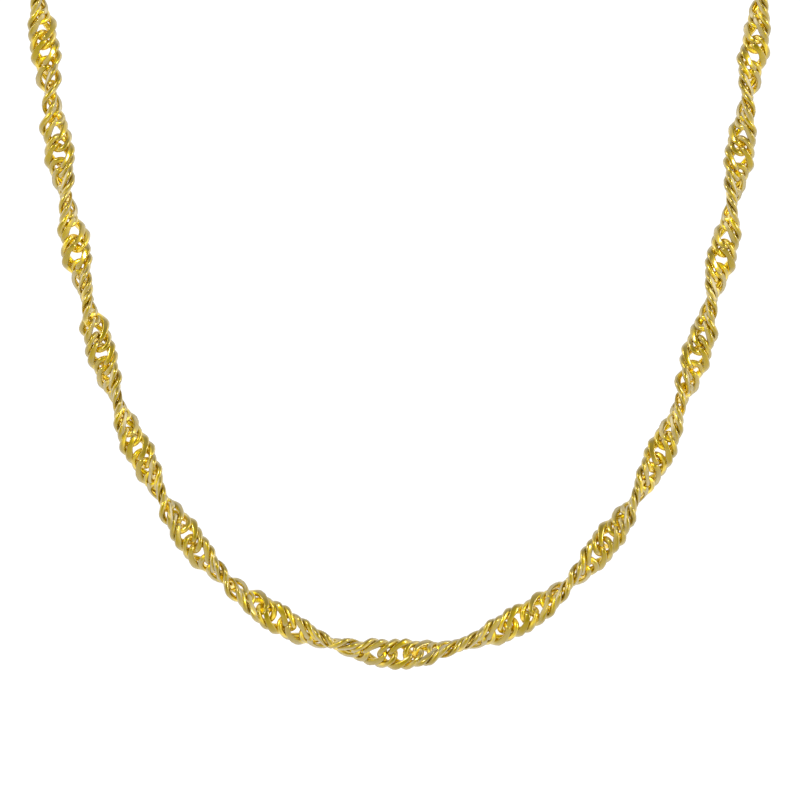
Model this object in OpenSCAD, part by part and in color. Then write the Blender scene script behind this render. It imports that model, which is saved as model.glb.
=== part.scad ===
// Twisted chain necklace: a closed loop of fine chain, worn round a neck, with a ring clasp at the nape.
// +X is the wearer's left, +Y runs from the front to the nape, +Z is up, and the origin is the middle
// of the neck.

/* [Chain] */
// Width of the twisted chain at its widest places
chain_width = 3.1; // [2.4:0.1:3.6]
// Flat sides of the tube that the twisted chain fills
chain_sides = 8; // [8:1:12]
// Cross-sections along the tube
chain_rings = 76; // [60:1:80]

/* [Loop] */
// Height of the neck's middle above the lowest point of the front curve
drop = 105; // [95:1:115]
// Distance from the neck's middle forward to the front curve
front_reach = 51.5; // [45:0.5:58]

/* [Clasp] */
// Outside diameter of the closed ring
ring_diameter = 6; // [5:0.5:8]
// Thickness of the ring's round tube
ring_wire = 1.2; // [1:0.1:1.4]
// Outside diameter of the eye at each end of the ring
eye_diameter = 2.4; // [2:0.1:2.8]
// Thickness of an eye, and the width of its rim
eye_wire = 0.6; // [0.5:0.1:0.7]
// Diameter of the thumb stud
stud_diameter = 0.8; // [0.7:0.1:1]
// How far the thumb stud stands out of the ring
stud_height = 0.7; // [0.5:0.1:1.2]
// Turn of the thumb stud round the ring, up from the wearer's left
stud_turn = 50; // [30:5:90]
// Space between an eye and the end of the chain
end_gap = 0.3; // [0.2:0.1:0.5]

/* [Hidden] */
$fn = 48;

// Points that steer half of the loop, from the lowest place of the front curve to the middle of the
// nape: how far to the side, how far behind the front curve, and how high above its lowest place.
ROUTE = [
    [0, 0, -0.5],
    [7.8, 0, 1],
    [14.8, 0, 4.8],
    [20.4, 0, 10.3],
    [24.7, 0, 17],
    [27.9, 0, 24.1],
    [30.3, 0, 31.6],
    [32.2, 0, 39.2],
    [33.6, 0, 47],
    [34.7, 0, 54.7],
    [35.7, 0, 62.5],
    [36.8, 0.5, 70.4],
    [38.5, 3.5, 78.2],
    [40.5, 9.5, 85.8],
    [42.5, 18.5, 92.2],
    [44.2, 30, 97.2],
    [45.5, 42.5, 101],
    [45.5, 55, 104],
    [44, 67.5, 106],
    [40, 79, 107.5],
    [33.5, 90, 108.5],
    [24, 98, 109],
    [12, 102.5, 109],
    [0, 103, 109]
];

// The other half is the mirror image, followed from the nape back to the front.
nape = len(ROUTE) - 1;
LOOP = concat(ROUTE, [for (i = [nape - 1:-1:1]) [-ROUTE[i].x, ROUTE[i].y, ROUTE[i].z]]);
steps = len(LOOP);

// The loop is a closed cubic B-spline steered by those points: step 0 is the lowest place of the
// front curve, and a whole turn is as many steps as there are points. Between two points, u runs
// from 0 to 1, and four points around that place are mixed.
function steer(i) = LOOP[(i + steps) % steps];
function share(u) = [
    pow(1 - u, 3),
    4 - 6 * pow(u, 2) + 3 * pow(u, 3),
    1 + 3 * u + 3 * pow(u, 2) - 3 * pow(u, 3),
    pow(u, 3)
] / 6;
function slope(u) = [
    -pow(1 - u, 2),
    -4 * u + 3 * pow(u, 2),
    1 + 2 * u - 3 * pow(u, 2),
    pow(u, 2)
] / 2;
function mix(i, shares) =
    shares[0] * steer(i - 1) + shares[1] * steer(i) + shares[2] * steer(i + 1) + shares[3] * steer(i + 2);
function unit(v) = v / norm(v);
function place(t) = mix(floor(t), share(t - floor(t))) - [0, front_reach, drop];
function heading(t) = unit(mix(floor(t), slope(t - floor(t))));

// The clasp lies along X at the nape, where the last steering points are evenly spaced, so that a
// step there is always the same distance to the side.
eye_offset = ring_diameter / 2 + eye_diameter / 2 - eye_wire;
clasp_reach = eye_offset + eye_diameter / 2;
nape_step = ROUTE[nape - 1].x;
end_steps = (clasp_reach + end_gap) / nape_step;
first_step = nape + end_steps;
last_step = nape + steps - end_steps;

// One cross-section of the tube: its corners, in a plane square to the route. The sides are counted
// from the direction that points away from the middle of the neck, so the tube doesn't wind.
function section(t) =
    let (
        middle = place(t),
        along = heading(t),
        across = unit(cross(along, middle)),
        outward = cross(across, along)
    )
    [
        for (k = [0:chain_sides - 1])
            let (turn = 360 * (k + 0.5) / chain_sides)
            middle + chain_width / 2 * (cos(turn) * outward + sin(turn) * across)
    ];

// The whole length of chain, from one eye of the clasp round the front to the other.
module chain() {
    n = chain_sides;
    last = chain_rings - 1;
    corners = [
        for (j = [0:last])
            each section(first_step + (last_step - first_step) * j / last)
    ];
    walls = [
        for (j = [0:last - 1], k = [0:n - 1])
            [j * n + k, j * n + (k + 1) % n, (j + 1) * n + (k + 1) % n, (j + 1) * n + k]
    ];
    ends = [
        [for (k = [n - 1:-1:0]) k],
        [for (k = [0:n - 1]) last * n + k]
    ];
    color("goldenrod") polyhedron(points = corners, faces = concat(walls, ends), convexity = 6);
}

// The round tube of the closed ring, which stands in the X-Z plane.
module ring() {
    rotate([90, 0, 0])
        rotate_extrude()
            translate([(ring_diameter - ring_wire) / 2, 0])
                circle(d = ring_wire);
}

// A flat eye in the same plane, with a round hole for the end of the chain.
module eye() {
    rotate([90, 0, 0])
        difference() {
            cylinder(h = eye_wire, d = eye_diameter, center = true);
            cylinder(h = 2 * eye_wire, d = eye_diameter - 2 * eye_wire, center = true);
        }
}

// The closed ring, its two soldered eyes and its thumb stud, one solid.
module clasp() {
    color("gold")
        translate(place(nape)) {
            ring();
            for (side = [-1, 1])
                translate([side * eye_offset, 0, 0])
                    eye();
            rotate([0, 90 - stud_turn, 0])
                translate([0, 0, (ring_diameter - ring_wire) / 2])
                    cylinder(h = ring_wire / 2 + stud_height, d = stud_diameter);
        }
}

chain();
clasp();
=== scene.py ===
import math

import bpy
import numpy as np
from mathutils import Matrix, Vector


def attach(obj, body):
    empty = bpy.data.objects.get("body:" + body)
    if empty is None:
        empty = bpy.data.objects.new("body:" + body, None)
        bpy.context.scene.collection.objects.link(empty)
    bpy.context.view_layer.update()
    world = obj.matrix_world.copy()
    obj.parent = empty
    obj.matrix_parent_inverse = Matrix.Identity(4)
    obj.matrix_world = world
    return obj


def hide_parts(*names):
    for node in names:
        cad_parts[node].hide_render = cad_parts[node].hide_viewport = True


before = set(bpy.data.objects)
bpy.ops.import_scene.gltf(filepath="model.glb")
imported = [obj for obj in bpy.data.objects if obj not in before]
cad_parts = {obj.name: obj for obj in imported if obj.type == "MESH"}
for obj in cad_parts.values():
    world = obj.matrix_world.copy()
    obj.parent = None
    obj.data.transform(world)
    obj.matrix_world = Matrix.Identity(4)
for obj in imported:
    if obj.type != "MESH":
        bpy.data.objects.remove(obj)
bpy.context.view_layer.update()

# Chain
# A fine curb chain of yellow gold wire, woven two links to a place and then wound about its own length, half
# a turn every ten millimetres. Each link is bent from one wire, twisted, hooked through the links beside it
# and soldered shut, and the whole chain is planed and polished.

# Points that steer half of the loop, in metres: how far to the side, how far behind the front curve, and
# how high above its lowest place, from the lowest place of the front curve to the middle of the nape.
ROUTE = [
    (0.0000, 0.0000, -0.0005),
    (0.0078, 0.0000, 0.0010),
    (0.0148, 0.0000, 0.0048),
    (0.0204, 0.0000, 0.0103),
    (0.0247, 0.0000, 0.0170),
    (0.0279, 0.0000, 0.0241),
    (0.0303, 0.0000, 0.0316),
    (0.0322, 0.0000, 0.0392),
    (0.0336, 0.0000, 0.0470),
    (0.0347, 0.0000, 0.0547),
    (0.0357, 0.0000, 0.0625),
    (0.0368, 0.0005, 0.0704),
    (0.0385, 0.0035, 0.0782),
    (0.0405, 0.0095, 0.0858),
    (0.0425, 0.0185, 0.0922),
    (0.0442, 0.0300, 0.0972),
    (0.0455, 0.0425, 0.1010),
    (0.0455, 0.0550, 0.1040),
    (0.0440, 0.0675, 0.1060),
    (0.0400, 0.0790, 0.1075),
    (0.0335, 0.0900, 0.1085),
    (0.0240, 0.0980, 0.1090),
    (0.0120, 0.1025, 0.1090),
    (0.0000, 0.1030, 0.1090),
]
FRONT_REACH = 0.0515
DROP = 0.105
MM = 0.001
# Places worked out between two of those points, and beyond each end of the half, to keep headings true there.
ROUTE_STEPS = 80
ROUTE_SPARE = 160


def spline_points(steer, per_step):
    """Points along the closed cubic B-spline that the steering points shape."""
    steer = np.asarray(steer)
    count = len(steer)
    t = np.arange(count * per_step) / per_step
    i = t.astype(int)
    u = (t - i)[:, None]
    shares = [(1 - u) ** 3, 4 - 6 * u**2 + 3 * u**3, 1 + 3 * u + 3 * u**2 - 3 * u**3, u**3]
    return sum(w * steer[(i + k - 1) % count] for k, w in enumerate(shares)) / 6


def half_route():
    """Distance, place, heading and outward direction along the wearer's left half, front to nape."""
    right = np.array(ROUTE)
    other = right[-2:0:-1] * [-1, 1, 1]
    points = spline_points(np.vstack([right, other]), ROUTE_STEPS) - [0, FRONT_REACH, DROP]
    order = np.arange(-ROUTE_SPARE, len(points) // 2 + ROUTE_SPARE)
    points = points[order % len(points)]
    step = np.linalg.norm(np.diff(points, axis=0), axis=1)
    distance = np.r_[0, np.cumsum(step)]
    distance -= distance[ROUTE_SPARE]
    heading = np.gradient(points, axis=0)
    heading /= np.linalg.norm(heading, axis=1)[:, None]
    outward = np.zeros_like(points)
    face = np.array([0.0, -1.0, 0.0])
    for n, along in enumerate(heading):
        face = face - along * (face @ along)
        face /= np.linalg.norm(face)
        outward[n] = face
    return distance, points, heading, outward


distance_at, place_at, heading_at, outward_at = half_route()


def at(table, distance):
    """The value of a table of the half route at each distance from the lowest place of the front."""
    return np.stack([np.interp(distance, distance_at, column) for column in table.T], axis=-1)


# The chain is seen edge on at these distances from the place where its winding is mirrored, in millimetres,
# and after the last of them it turns at an even rate. Changes of rate are blended over a short way.
MIRROR = -0.2
EDGE_ON = [-6.33, 6.33, 19.03, 29.22, 40.14, 50.77, 60.86, 71.28, 81.68]
HALF_TURN = 10.05
LAST_EDGE = 240.0
TURN_BLEND = 2.5
TURN_SAMPLES = 21
edges = EDGE_ON + list(np.arange(EDGE_ON[-1] + HALF_TURN, LAST_EDGE, HALF_TURN))
edge_turns = -90.0 + 180.0 * np.arange(len(edges))


def turn_at(distance):
    """How far the chain has turned about its own length, in degrees, at a distance in millimetres."""
    spread = np.linspace(-TURN_BLEND, TURN_BLEND, TURN_SAMPLES)
    return np.mean([np.interp(distance - MIRROR + d, edges, edge_turns) for d in spread], axis=0)


# Size of a link, in millimetres, where the chain lies flat: x along it, y across its face, z out of its
# face. First the centreline of its wire: its length and width, how square its outline is, how far its
# corners are bent out of the face like a saddle's, and how far each link of a pair is tipped endwise.
LINK_LENGTH = 3.05
LINK_WIDTH = 2.36
LINK_SIDES = 1.25
LINK_ENDS = 2.2
LINK_SADDLE = 0.80
LINK_SADDLE_EDGE = -0.3
LINK_PITCH = 0.12
# The wire's section in the middle of a link's sides, at its ends and at its corners, and how sharply the
# first two give way to the third.
SIDE_WIDE = 0.82
SIDE_THICK = 0.70
END_WIDE = 0.66
END_THICK = 0.70
CORNER_WIDE = 0.52
SIDE_FADE = 4
END_FADE = 6
# How far from the chain's middle plane the planing starts, and the share of the metal beyond that it leaves.
PLANED = 0.55
PLANED_LEFT = 0.1
# How far each link of a pair lies from the pair's middle, and the angle between the two, in degrees.
PAIR_SPREAD = 0.48
PAIR_TURN = 25.0
# Points round a link and round its wire, and how many times finer the link's outline is drawn at first.
AROUND_LINK = 64
AROUND_WIRE = 12
FINER = 8


def grid_faces(rows, columns, wrap_rows, wrap_columns):
    """Quads of a grid of points, joined end to start where it wraps."""
    i, j = np.meshgrid(
        np.arange(rows if wrap_rows else rows - 1),
        np.arange(columns if wrap_columns else columns - 1),
        indexing="ij",
    )
    i2, j2 = (i + 1) % rows, (j + 1) % columns
    corners = [i * columns + j, i2 * columns + j, i2 * columns + j2, i * columns + j2]
    return np.stack(corners, -1).reshape(-1, 4)


def link_mesh(side):
    """Points and quads of one link, the first (-1) or the second (1) of its pair."""
    a = np.arange(AROUND_LINK * FINER) * 2 * np.pi / (AROUND_LINK * FINER)
    c, s = np.cos(a), np.sin(a)
    x = np.sign(c) * np.abs(c) ** (2 / LINK_SIDES) * LINK_LENGTH / 2
    y = np.sign(s) * np.abs(s) ** (2 / LINK_ENDS) * LINK_WIDTH / 2
    # even out the spacing of the points round the link
    closed = np.c_[np.r_[x, x[:1]], np.r_[y, y[:1]]]
    run = np.r_[0, np.cumsum(np.linalg.norm(np.diff(closed, axis=0), axis=1))]
    even = np.arange(AROUND_LINK) * run[-1] / AROUND_LINK
    x, y = np.interp(even, run, closed[:, 0]), np.interp(even, run, closed[:, 1])
    end, edge = x / (LINK_LENGTH / 2), y / (LINK_WIDTH / 2)
    z = -LINK_SADDLE * end * edge * (1 + LINK_SADDLE_EDGE * (edge**2 - 0.5)) + side * LINK_PITCH * end
    roll = math.radians(side * PAIR_TURN / 2)
    y, z = y * math.cos(roll) - z * math.sin(roll), y * math.sin(roll) + z * math.cos(roll)
    middle = np.c_[x, y, z]
    along = np.roll(middle, -1, 0) - np.roll(middle, 1, 0)
    along /= np.linalg.norm(along, axis=1)[:, None]
    wide_way = np.c_[along[:, 1], -along[:, 0], np.zeros(len(x))]
    wide_way /= np.linalg.norm(wide_way, axis=1)[:, None]
    thick_way = np.cross(wide_way, along)
    wide = CORNER_WIDE + (SIDE_WIDE - CORNER_WIDE) * (1 - end**2) ** SIDE_FADE
    wide += (END_WIDE - CORNER_WIDE) * end**END_FADE
    thick = SIDE_THICK + (END_THICK - SIDE_THICK) * end**2
    b = (np.arange(AROUND_WIRE) + 0.5) * 2 * np.pi / AROUND_WIRE
    points = (
        middle[:, None, :]
        + wide_way[:, None, :] * (wide[:, None] * np.cos(b) / 2)[..., None]
        + thick_way[:, None, :] * (thick[:, None] * np.sin(b) / 2)[..., None]
    )
    out = np.abs(points[..., 2])
    planed = np.where(out > PLANED, PLANED + PLANED_LEFT * (out - PLANED), out)
    points[..., 2] = np.sign(points[..., 2]) * planed
    return points.reshape(-1, 3), grid_faces(AROUND_LINK, AROUND_WIRE, True, True)


first_link, link_quads = link_mesh(-1)
second_link, _ = link_mesh(1)

# Where some pairs of links are, by number, in millimetres from the middle of the front. After the last of
# them the pitch is even. The links of the mirrored side lie a little farther on.
PAIR_KNOWN = [
    (-2, -5.25),
    (-1, -2.56),
    (0, 0.10),
    (6, 15.10),
    (13, 32.44),
    (19, 47.50),
    (23, 57.59),
    (31, 78.25),
]
PITCH = 2.505
LAST_PAIR = 88
MIRROR_SHIFT = 0.4
known_numbers, known_places = zip(*PAIR_KNOWN)


def pair_place(number):
    """Distance of a pair of links from the middle of the front."""
    if number > known_numbers[-1]:
        return known_places[-1] + (number - known_numbers[-1]) * PITCH
    return float(np.interp(number, known_numbers, known_places))


def wound(points, shift):
    """Takes points of the flat chain, in millimetres, to their places on the twisted chain's route."""
    distance = points[:, 0]
    turn = -np.radians(turn_at(distance - shift))[:, None]
    # the route is its own mirror image about the front's middle
    behind = (distance < 0)[:, None]
    where = at(place_at, np.abs(distance) * MM) * np.where(behind, [-1, 1, 1], 1)
    along = at(heading_at, np.abs(distance) * MM) * np.where(behind, [1, -1, -1], 1)
    face = at(outward_at, np.abs(distance) * MM) * np.where(behind, [-1, 1, 1], 1)
    along /= np.linalg.norm(along, axis=1)[:, None]
    face -= along * (face * along).sum(1)[:, None]
    face /= np.linalg.norm(face, axis=1)[:, None]
    across = np.cross(along, -face)
    y_axis = np.cos(turn) * across + np.sin(turn) * face
    z_axis = np.cross(along, y_axis)
    return where + MM * (points[:, 1:2] * y_axis + points[:, 2:] * z_axis)


# How loosely the links lie: their roll in radians, and their place along and across in millimetres.
LOOSE_SEED = 11
rng = np.random.default_rng(LOOSE_SEED)
LOOSE_ROLL = 0.10
LOOSE_PLACE = 0.06
LOOSE_SIDE = 0.09


def placed_links(numbers, mirrored):
    """The points of the pairs of links with these numbers, on the wearer's left or mirrored to the right."""
    made = []
    shifts = []
    for number in numbers:
        # the mirrored side's shift fades out over the hidden stretch
        hidden = max(0, number - known_numbers[-1]) / (LAST_PAIR - known_numbers[-1])
        shift = MIRROR_SHIFT * (1 - hidden) if mirrored else 0.0
        for side, link in ((-1, first_link), (1, second_link)):
            roll = rng.normal(0, LOOSE_ROLL)
            points = link.copy()
            points[:, 1] = link[:, 1] * math.cos(roll) - link[:, 2] * math.sin(roll)
            points[:, 2] = link[:, 1] * math.sin(roll) + link[:, 2] * math.cos(roll)
            points[:, 0] += pair_place(number) + shift + side * PAIR_SPREAD + rng.normal(0, LOOSE_PLACE)
            points[:, 1] += rng.normal(0, LOOSE_SIDE)
            made.append(points)
            shifts.append(np.full(len(points), shift))
    points = wound(np.concatenate(made), np.concatenate(shifts))
    if mirrored:
        points = points * [-1, 1, 1]
    return points


def add_piece(name, points, faces, material, node):
    """A smooth piece of the part, in place of a CAD node, which it hides, with the given material."""
    mesh = bpy.data.meshes.new(name)
    mesh.from_pydata(np.asarray(points).tolist(), [], [tuple(int(i) for i in face) for face in faces])
    mesh.shade_smooth()
    mesh.materials.append(material)
    piece = bpy.data.objects.new(name, mesh)
    bpy.context.scene.collection.objects.link(piece)
    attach(piece, "root")
    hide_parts(node)
    return piece


def float_layer(piece, name, values):
    """Stores one number for each point of a piece, for its material to read."""
    layer = piece.data.attributes.new(name, "FLOAT", "POINT")
    layer.data.foreach_set("value", np.asarray(values, dtype=np.float32))


def smooth_step(low, high, value):
    """0 below low, 1 above high, and a smooth rise between them."""
    u = np.clip((np.asarray(value) - low) / (high - low), 0, 1)
    return u * u * (3 - 2 * u)


def feed(tree, node, key, source):
    """Sets a node's input to a number, or links another node's output to it."""
    if isinstance(source, float):
        node.inputs[key].default_value = source
    else:
        tree.links.new(source, node.inputs[key])


def ramp(tree, value, start, stop, low, high, interpolation="LINEAR"):
    """A number that goes from low to high while the value goes from start to stop."""
    node = tree.nodes.new("ShaderNodeMapRange")
    node.interpolation_type = interpolation
    feed(tree, node, "Value", value)
    feed(tree, node, "From Min", start)
    feed(tree, node, "From Max", stop)
    feed(tree, node, "To Min", low)
    feed(tree, node, "To Max", high)
    return node.outputs["Result"]


def math_node(tree, operation, *sources):
    """What a Math node makes of one or two numbers."""
    node = tree.nodes.new("ShaderNodeMath")
    node.operation = operation
    for key, source in enumerate(sources):
        feed(tree, node, key, source)
    return node.outputs["Value"]


def group_socket(group, way, kind, name, value=None):
    """A named input or output of a shader node group."""
    socket = group.interface.new_socket(name, in_out=way, socket_type=kind)
    if value is not None:
        socket.default_value = value


# How often the gold's tone, saturation, wear, dents and grain change, in waves per metre, and how finely
# broken the waves are. Then how far the saturation goes, and the part of the noise that is used.
TONE_SCALE, TONE_DETAIL = 500.0, 2.0
SATURATION_SCALE, SATURATION_DETAIL = 850.0, 1.0
WEAR_SCALE, WEAR_DETAIL = 2500.0, 3.0
DENT_SCALE, DENT_DETAIL = 2500.0, 1.0
GRAIN_SCALE, GRAIN_DETAIL = 9000.0, 4.0
SATURATION_MOST, SATURATION_LEAST = 1.08, 0.92
NOISE_LOW, NOISE_HIGH = 0.3, 0.7
# The glance, from 0 where the surface faces the eye to 1, at which gloss is full, and what the rim keeps.
GLOSS_FULL = 0.5
GLOSS_AT_RIM = 0.0


def gold_surface():
    """Node group of worn, polished gold: its colour, with painted light mixed in at its hollows, how rough
    and glossy it is, and its fine grain.
    """
    group = bpy.data.node_groups.new("gold_surface", "ShaderNodeTree")
    group_socket(group, "INPUT", "NodeSocketColor", "Face Color", (1, 1, 1, 1))
    group_socket(group, "INPUT", "NodeSocketColor", "Painted Hollow Color", (1, 1, 1, 1))
    group_socket(group, "INPUT", "NodeSocketFloat", "Painted Hollow", 0.0)
    group_socket(group, "INPUT", "NodeSocketFloat", "Tone Spread", 0.1)
    group_socket(group, "INPUT", "NodeSocketFloat", "Smoothest", 0.15)
    group_socket(group, "INPUT", "NodeSocketFloat", "Roughest", 0.3)
    group_socket(group, "INPUT", "NodeSocketFloat", "Glance", 0.0)
    group_socket(group, "INPUT", "NodeSocketFloat", "Gloss Facing", 0.1)
    group_socket(group, "INPUT", "NodeSocketFloat", "Gloss Glancing", 1.0)
    group_socket(group, "OUTPUT", "NodeSocketColor", "Color")
    group_socket(group, "OUTPUT", "NodeSocketFloat", "Roughness")
    group_socket(group, "OUTPUT", "NodeSocketFloat", "Gloss")
    group_socket(group, "OUTPUT", "NodeSocketFloat", "Height")
    nodes, links = group.nodes, group.links
    given = nodes.new("NodeGroupInput").outputs
    result = nodes.new("NodeGroupOutput").inputs
    place = nodes.new("ShaderNodeTexCoord")

    def noise(scale, detail):
        """Even noise over the piece, with so many waves per metre."""
        node = nodes.new("ShaderNodeTexNoise")
        node.inputs["Scale"].default_value = scale
        node.inputs["Detail"].default_value = detail
        links.new(place.outputs["Object"], node.inputs["Vector"])
        return node.outputs["Fac"]

    # painted light: the second colour is mixed in by the hollows' share, a painted reflection inside the
    # chain and painted shade in the clasp's slot
    both = nodes.new("ShaderNodeMix")
    both.data_type = "RGBA"
    links.new(given["Painted Hollow"], both.inputs["Factor"])
    links.new(given["Face Color"], both.inputs["A"])
    links.new(given["Painted Hollow Color"], both.inputs["B"])
    # the tone of the gold drifts from link to link
    low = math_node(group, "SUBTRACT", 1.0, given["Tone Spread"])
    high = math_node(group, "ADD", 1.0, given["Tone Spread"])
    value = ramp(group, noise(TONE_SCALE, TONE_DETAIL), NOISE_LOW, NOISE_HIGH, low, high)
    depth = noise(SATURATION_SCALE, SATURATION_DETAIL)
    saturation = ramp(group, depth, NOISE_LOW, NOISE_HIGH, SATURATION_MOST, SATURATION_LEAST)
    tone = nodes.new("ShaderNodeHueSaturation")
    links.new(both.outputs["Result"], tone.inputs["Color"])
    links.new(value, tone.inputs["Value"])
    links.new(saturation, tone.inputs["Saturation"])
    links.new(tone.outputs["Color"], result["Color"])
    # handling leaves some places smoother than others
    wear = noise(WEAR_SCALE, WEAR_DETAIL)
    worn = ramp(group, wear, NOISE_LOW, NOISE_HIGH, given["Smoothest"], given["Roughest"])
    links.new(worn, result["Roughness"])
    grain = math_node(group, "ADD", noise(GRAIN_SCALE, GRAIN_DETAIL), noise(DENT_SCALE, DENT_DETAIL))
    links.new(grain, result["Height"])
    # the polish shines most half way to a glancing angle
    rise = ramp(group, given["Glance"], 0.0, GLOSS_FULL, given["Gloss Facing"], given["Gloss Glancing"])
    fade = ramp(group, given["Glance"], GLOSS_FULL, 1.0, 1.0, GLOSS_AT_RIM)
    links.new(math_node(group, "MULTIPLY", rise, fade), result["Gloss"])
    return group


gold_group = gold_surface()
# What all of the gold shares: the spread of its tone, its thin glossy coat and how far that reaches from the
# rim, and its grain, whose depth is in metres.
TONE_SPREAD = 0.12
COAT_ROUGH = 0.06
COAT_IOR = 2.3
COAT_FACE = 0.06
GLANCE_BLEND = 0.6
GRAIN_STRENGTH = 0.15
GRAIN_DEPTH = 0.00001


def gold(name, face_color, painted_hollow_color, smoothest, roughest, coat):
    """A polished gold whose points with a high value of their layer "deep" take the second colour, painted
    light for the hollows.
    """
    material = bpy.data.materials.new(name)
    material.use_nodes = True
    nodes, links = material.node_tree.nodes, material.node_tree.links
    shader = nodes["Principled BSDF"]
    surface = nodes.new("ShaderNodeGroup")
    surface.node_tree = gold_group
    surface.inputs["Face Color"].default_value = (*face_color, 1)
    surface.inputs["Painted Hollow Color"].default_value = (*painted_hollow_color, 1)
    surface.inputs["Tone Spread"].default_value = TONE_SPREAD
    surface.inputs["Smoothest"].default_value = smoothest
    surface.inputs["Roughest"].default_value = roughest
    painted_hollow = nodes.new("ShaderNodeAttribute")
    painted_hollow.attribute_name = "painted_hollow"
    links.new(painted_hollow.outputs["Fac"], surface.inputs["Painted Hollow"])
    bump = nodes.new("ShaderNodeBump")
    bump.inputs["Strength"].default_value = GRAIN_STRENGTH
    bump.inputs["Distance"].default_value = GRAIN_DEPTH
    links.new(surface.outputs["Height"], bump.inputs["Height"])
    glance = nodes.new("ShaderNodeLayerWeight")
    glance.inputs["Blend"].default_value = GLANCE_BLEND
    links.new(glance.outputs["Facing"], surface.inputs["Glance"])
    surface.inputs["Gloss Facing"].default_value = COAT_FACE
    surface.inputs["Gloss Glancing"].default_value = coat
    links.new(surface.outputs["Color"], shader.inputs["Base Color"])
    links.new(surface.outputs["Roughness"], shader.inputs["Roughness"])
    links.new(surface.outputs["Gloss"], shader.inputs["Coat Weight"])
    links.new(bump.outputs["Normal"], shader.inputs["Normal"])
    shader.inputs["Metallic"].default_value = 1.0
    shader.inputs["Coat Roughness"].default_value = COAT_ROUGH
    shader.inputs["Coat IOR"].default_value = COAT_IOR
    return material


CHAIN_FACE = (0.28, 0.197, 0.002)
# painted reflection: the brighter gold painted inside the chain
CHAIN_PAINTED_REFLECTION = (0.75, 0.545, 0.006)
CHAIN_SMOOTH = 0.3
CHAIN_ROUGH = 0.42
CHAIN_COAT = 1.0
chain_gold = gold("chain_gold", CHAIN_FACE, CHAIN_PAINTED_REFLECTION, CHAIN_SMOOTH, CHAIN_ROUGH, CHAIN_COAT)

# Painted reflection: the metal inside the chain, away from its faces and edges, is painted a brighter, richer
# gold that stands in for the light gold mirrors from the gold around it. Both ranges are in millimetres.
FACE_FROM, FACE_TO = 0.25, 0.52
EDGE_FROM, EDGE_TO = 0.95, 1.35


def link_painted_reflection(link):
    """How much of the painted reflection each point of a link takes, more the farther it lies inside the
    chain.
    """
    face = smooth_step(FACE_FROM, FACE_TO, np.abs(link[:, 2]))
    edge = smooth_step(EDGE_FROM, EDGE_TO, np.abs(link[:, 1]))
    return (1 - face) * (1 - edge)


# The first and last pair of each piece. The mirrored side's first piece starts later, where the other ends.
PIECE_PAIRS = [(-2, 31), (32, 60), (61, LAST_PAIR)]
MIRROR_FIRST = 3
painted_reflection_shares = np.concatenate([link_painted_reflection(first_link), link_painted_reflection(second_link)])
for number, (first, last) in enumerate(PIECE_PAIRS):
    for label, mirrored in (("left", False), ("right", True)):
        start = MIRROR_FIRST if mirrored and first < 0 else first
        numbers = range(start, last + 1)
        points = placed_links(numbers, mirrored)
        quads = link_quads[:, ::-1] if mirrored else link_quads
        faces = np.concatenate([quads + k for k in range(0, len(points), len(first_link))])
        piece = add_piece(f"links_{label}_{number}", points, faces, chain_gold, "chain")
        # painted reflection: the inside of each link takes the chain's brighter second colour
        float_layer(piece, "painted_hollow", np.tile(painted_reflection_shares, len(numbers)))

# Clasp
# A closed ring of hollow round tube that stands upright at the nape, with a thinner spring bolt in its gate,
# a thumb stud that slides in a slot, and a flat eye soldered to each side. It is stamped and drawn gold.

# Its middle is in metres, its sizes in millimetres, and turns round the ring in degrees, up from the
# wearer's left.
CLASP_MIDDLE = np.array([0.0, 0.05133, 0.004])
RING_RADIUS = 2.4
TUBE_RADIUS = 0.6
TUBE_RINGS = 240
AROUND_TUBE = 40
BOLT_RADIUS = 0.43
BOLT_RINGS = 40
BOLT_HIDDEN = 4.0
AROUND_BOLT = 32
GATE_FROM, GATE_TO = 74.0, 104.0
STUD_TURN = 50.0
AROUND_STUD = 32
SLOT_REACH = 15.0
SLOT_END = 1.5
SLOT_HALF = 0.30
SLOT_EDGE = 0.05
SLOT_DEPTH = 0.22
# Each end of the tube is rounded over a lip that closes in on the bolt: its radius at shares of its length.
LIP = 0.12
LIP_SHARES = np.array([0, 0, 0.3, 0.65])
LIP_RADII = np.array([BOLT_RADIUS - 0.02, TUBE_RADIUS - 0.08, TUBE_RADIUS - 0.035, TUBE_RADIUS - 0.01])
CLASP_FACE = (0.46, 0.32, 0.04)
# painted shade: the darker colour that the slot is given
CLASP_PAINTED_SHADE = (0.30, 0.17, 0.02)
CLASP_SMOOTH = 0.14
CLASP_ROUGH = 0.24
CLASP_COAT = 0.6
clasp_gold = gold("clasp_gold", CLASP_FACE, CLASP_PAINTED_SHADE, CLASP_SMOOTH, CLASP_ROUGH, CLASP_COAT)


def capped_tube(rows, columns):
    """Faces of a tube's grid of points, with a flat end on its first and last row."""
    first = tuple(range(columns))[::-1]
    last = tuple((rows - 1) * columns + k for k in range(columns))
    return [tuple(face) for face in grid_faces(rows, columns, False, True)] + [first, last]


def upright_tube(turns, ring_radius, tube_radius, around):
    """Points of a round tube bent to a ring in the X-Z plane, in millimetres: a row of points to a turn."""
    t = np.radians(turns)[:, None]
    b = np.arange(around) * 2 * np.pi / around
    out = ring_radius + np.asarray(tube_radius) * np.cos(b)
    return np.stack([out * np.cos(t), np.asarray(tube_radius) * np.sin(b) + 0 * t, out * np.sin(t)], -1)


def to_clasp(points):
    """Millimetres from the middle of the clasp to the frame's metres."""
    return np.asarray(points).reshape(-1, 3) * MM + CLASP_MIDDLE


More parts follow.
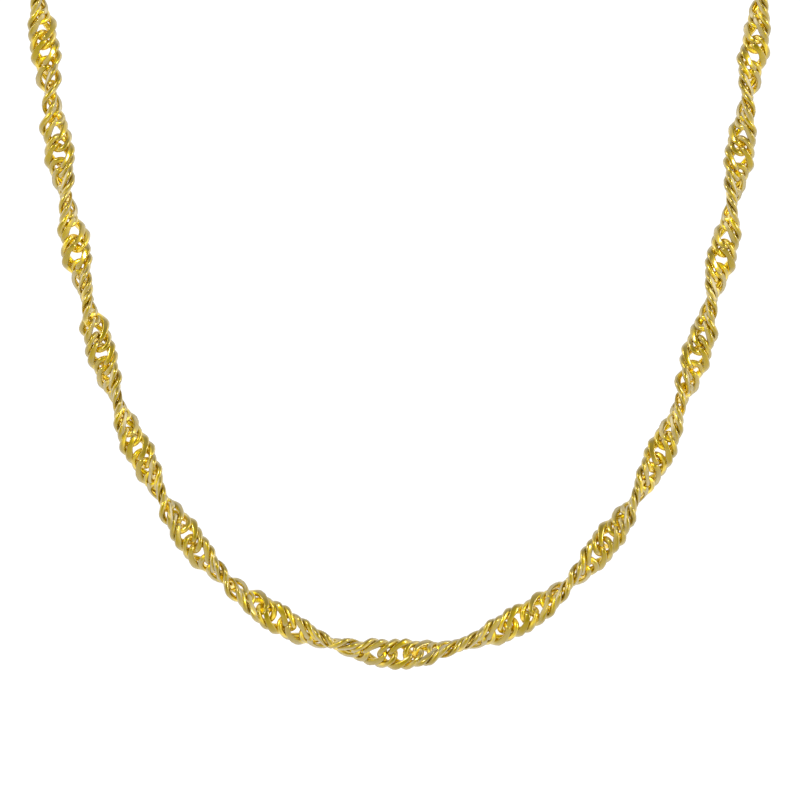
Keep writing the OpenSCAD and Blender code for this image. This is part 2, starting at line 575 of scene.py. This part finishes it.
# the body: from one side of the gate round to the other, with a rounded lip at each end and a slot
span = 360.0 - (GATE_TO - GATE_FROM)
lip_turn = math.degrees(LIP / RING_RADIUS)
lip_turns = lip_turn * LIP_SHARES
inner_turns = np.linspace(lip_turn, span - lip_turn, TUBE_RINGS)
turns = GATE_TO + np.r_[lip_turns, inner_turns, (span - lip_turns)[::-1]]
size = np.r_[LIP_RADII, np.full(TUBE_RINGS, TUBE_RADIUS), LIP_RADII[::-1]]
b = np.arange(AROUND_TUBE) * 2 * np.pi / AROUND_TUBE
b = np.where(b > np.pi, b - 2 * np.pi, b)
from_stud = np.abs((turns - STUD_TURN + 180.0) % 360.0 - 180.0)
slot_along = 1 - smooth_step(SLOT_REACH - SLOT_END, SLOT_REACH + SLOT_END, from_stud)[:, None]
slot_across = 1 - smooth_step(SLOT_HALF - SLOT_EDGE, SLOT_HALF + SLOT_EDGE, np.abs(b * TUBE_RADIUS))[None, :]
in_slot = slot_along * slot_across
body = upright_tube(turns, RING_RADIUS, size[:, None] - SLOT_DEPTH * in_slot, AROUND_TUBE)
piece = add_piece("clasp_body", to_clasp(body), capped_tube(len(turns), AROUND_TUBE), clasp_gold, "clasp")
# painted shade in the slot: its points take the clasp's darker second colour
float_layer(piece, "painted_hollow", in_slot.ravel())

# the bolt, seen in the gate
bolt_turns = np.linspace(GATE_FROM - BOLT_HIDDEN, GATE_TO + BOLT_HIDDEN, BOLT_RINGS)
bolt = upright_tube(bolt_turns, RING_RADIUS, np.full((BOLT_RINGS, 1), BOLT_RADIUS), AROUND_BOLT)
add_piece("clasp_bolt", to_clasp(bolt), capped_tube(BOLT_RINGS, AROUND_BOLT), clasp_gold, "clasp")

# the thumb stud: its radius at heights above the outside of the ring
STUD_PROFILE = [
    (0.00, -0.35),
    (0.27, -0.35),
    (0.27, 0.10),
    (0.28, 0.30),
    (0.33, 0.42),
    (0.39, 0.50),
    (0.40, 0.58),
    (0.37, 0.65),
    (0.28, 0.69),
    (0.14, 0.70),
    (0.00, 0.70),
]
profile = np.array(STUD_PROFILE)
b = np.arange(AROUND_STUD) * 2 * np.pi / AROUND_STUD
side = np.stack([profile[:, :1] * np.cos(b), profile[:, :1] * np.sin(b)], -1)[1:-1]
height = RING_RADIUS + TUBE_RADIUS + profile[1:-1, 1]
t = math.radians(STUD_TURN)
away = np.array([math.cos(t), 0, math.sin(t)])
flat = np.array([-math.sin(t), 0, math.cos(t)])
stud = side[..., :1] * flat + side[..., 1:] * np.array([0, 1, 0]) + height[:, None, None] * away
add_piece("clasp_stud", to_clasp(stud), capped_tube(len(stud), AROUND_STUD), clasp_gold, "clasp")

# the eyes: flattened rings, thicker where solder joins them to the body
EYE_PLACE = 3.6
EYE_RADIUS = 0.9
EYE_WIRE = 0.6
EYE_SOLDER = 0.35
SOLDER_FROM = 0.5
EYE_SQUARE = 2.8
AROUND_EYE = 56
AROUND_EYE_WIRE = 20
turns = np.arange(AROUND_EYE) * 2 * np.pi / AROUND_EYE
b = (np.arange(AROUND_EYE_WIRE) + 0.5) * 2 * np.pi / AROUND_EYE_WIRE
cut_x = np.sign(np.cos(b)) * np.abs(np.cos(b)) ** (2 / EYE_SQUARE) * EYE_WIRE / 2
cut_y = np.sign(np.sin(b)) * np.abs(np.sin(b)) ** (2 / EYE_SQUARE) / 2
for label, way in (("left", 1), ("right", -1)):
    thick = EYE_WIRE + EYE_SOLDER * smooth_step(SOLDER_FROM, 1.0, -way * np.cos(turns))
    out = EYE_RADIUS + cut_x[None, :]
    eye = np.stack(
        [
            way * EYE_PLACE + out * np.cos(turns)[:, None],
            thick[:, None] * cut_y[None, :],
            out * np.sin(turns)[:, None],
        ],
        -1,
    )
    eye_faces = grid_faces(AROUND_EYE, AROUND_EYE_WIRE, True, True)
    add_piece(f"clasp_eye_{label}", to_clasp(eye), eye_faces, clasp_gold, "clasp")

# End rings
# A small ring of round gold wire, soldered shut, at each end of the chain: it lies level, through the clasp's
# eye and the chain's last link. The solder makes a slight lump.
END_RING_PLACE = 5.05
END_RING_RADIUS = 1.05
END_RING_WIRE = 0.38
LUMP = 0.12
LUMP_FROM = 0.97
AROUND_RING = 56
AROUND_RING_WIRE = 16
turns = np.arange(AROUND_RING) * 2 * np.pi / AROUND_RING
b = np.arange(AROUND_RING_WIRE) * 2 * np.pi / AROUND_RING_WIRE
for label, way in (("left", 1), ("right", -1)):
    wire = END_RING_WIRE / 2 * (1 + LUMP * smooth_step(LUMP_FROM, 1.0, np.sin(turns)))
    out = END_RING_RADIUS + wire[:, None] * np.cos(b)
    ring = np.stack(
        [
            way * END_RING_PLACE + out * np.cos(turns)[:, None],
            out * np.sin(turns)[:, None],
            wire[:, None] * np.sin(b),
        ],
        -1,
    )
    ring_faces = grid_faces(AROUND_RING, AROUND_RING_WIRE, True, True)[:, ::-1]
    add_piece(f"end_ring_{label}", to_clasp(ring), ring_faces, clasp_gold, "clasp")

# Floor
# A plain white paper floor, well below the chain, which hangs free of it. It is wide enough to meet the white
# surroundings without an edge.
FLOOR_HEIGHT = -0.16
FLOOR_HALF = 6.0
FLOOR_CORNERS = [(-1, -1), (1, -1), (1, 1), (-1, 1)]
PAPER_WHITE = 0.95
PAPER_ROUGH = 0.9
floor_mesh = bpy.data.meshes.new("floor")
floor_points = [(x * FLOOR_HALF, y * FLOOR_HALF, FLOOR_HEIGHT) for x, y in FLOOR_CORNERS]
floor_mesh.from_pydata(floor_points, [], [(0, 1, 2, 3)])
floor = bpy.data.objects.new("floor", floor_mesh)
bpy.context.scene.collection.objects.link(floor)
paper = bpy.data.materials.new("white_paper")
paper.use_nodes = True
paper_inputs = paper.node_tree.nodes["Principled BSDF"].inputs
paper_inputs["Base Color"].default_value = (PAPER_WHITE, PAPER_WHITE, PAPER_WHITE, 1)
paper_inputs["Roughness"].default_value = PAPER_ROUGH
floor_mesh.materials.append(paper)

# Light
# A studio tent of white cloth, dimmer on the camera's side and brighter at its sides and top, with two soft
# lights in front of the chain. Seen straight, it is one even white.
TENT_BACK = 1.1
TENT_FRONT = 0.55
BACK_FROM, BACK_TO = -0.6, 0.5
TENT_TOP = 0.2
TOP_FROM, TOP_TO = 0.2, 1.0
TENT_SIDES = 1.0
SIDE_FROM, SIDE_TO = 0.5, 0.9
world = bpy.data.worlds.new("tent")
world.use_nodes = True
tent = world.node_tree
surround = tent.nodes["Background"]
where = tent.nodes.new("ShaderNodeTexCoord")
parts = tent.nodes.new("ShaderNodeSeparateXYZ")
tent.links.new(where.outputs["Generated"], parts.inputs["Vector"])
across = math_node(tent, "ABSOLUTE", parts.outputs["X"])
from_back = ramp(tent, parts.outputs["Y"], BACK_FROM, BACK_TO, TENT_FRONT, TENT_BACK, "SMOOTHSTEP")
from_top = ramp(tent, parts.outputs["Z"], TOP_FROM, TOP_TO, 0.0, TENT_TOP)
from_sides = ramp(tent, across, SIDE_FROM, SIDE_TO, 0.0, TENT_SIDES, "SMOOTHSTEP")
all_round = math_node(tent, "ADD", math_node(tent, "ADD", from_back, from_top), from_sides)
seen = tent.nodes.new("ShaderNodeLightPath")
choice = tent.nodes.new("ShaderNodeMix")
choice.data_type = "FLOAT"
tent.links.new(seen.outputs["Is Camera Ray"], choice.inputs["Factor"])
tent.links.new(all_round, choice.inputs["A"])
choice.inputs["B"].default_value = TENT_BACK
tent.links.new(choice.outputs["Result"], surround.inputs["Strength"])
surround.inputs["Color"].default_value = (1, 1, 1, 1)
bpy.context.scene.world = world
bpy.context.scene.view_settings.view_transform = "Standard"


def soft_light(name, place, aim, width, height, power):
    """A rectangular soft light at a place, turned to face another."""
    data = bpy.data.lights.new(name, "AREA")
    data.shape = "RECTANGLE"
    data.size = width
    data.size_y = height
    data.energy = power
    light = bpy.data.objects.new(name, data)
    light.location = place
    direction = Vector(aim) - Vector(place)
    light.rotation_euler = direction.to_track_quat("-Z", "Y").to_euler()
    bpy.context.scene.collection.objects.link(light)


FRONT_MIDDLE = (0.0, -0.05, -0.07)
LIGHT_WIDE = 0.16
LIGHT_HIGH = 0.24
LEFT_PLACE, LEFT_POWER = (-0.45, -0.65, 0.35), 3.4
RIGHT_PLACE, RIGHT_POWER = (0.55, -0.55, 0.15), 2.9
soft_light("left_light", LEFT_PLACE, FRONT_MIDDLE, LIGHT_WIDE, LIGHT_HIGH, LEFT_POWER)
soft_light("right_light", RIGHT_PLACE, FRONT_MIDDLE, LIGHT_WIDE, LIGHT_HIGH, RIGHT_POWER)

# Camera
# A long lens, straight ahead of the front and looking level, at the height that puts the front's lowest place
# where the photograph has it. Lengths are in metres, the sensor and the lens in millimetres.
CAMERA_SIDE = 0.00006
CAMERA_AWAY = 0.6
CAMERA_HEIGHT = -0.07960
SENSOR = 36.0
LENS = 270.0
CLIP_NEAR, CLIP_FAR = 0.01, 50.0
camera_data = bpy.data.cameras.new("camera")
camera_data.sensor_width = SENSOR
camera_data.lens = LENS
camera_data.clip_start = CLIP_NEAR
camera_data.clip_end = CLIP_FAR
camera = bpy.data.objects.new("camera", camera_data)
camera.location = (CAMERA_SIDE, -FRONT_REACH - CAMERA_AWAY, CAMERA_HEIGHT)
camera.rotation_euler = (math.radians(90), 0, 0)
bpy.context.scene.collection.objects.link(camera)
bpy.context.scene.camera = camera
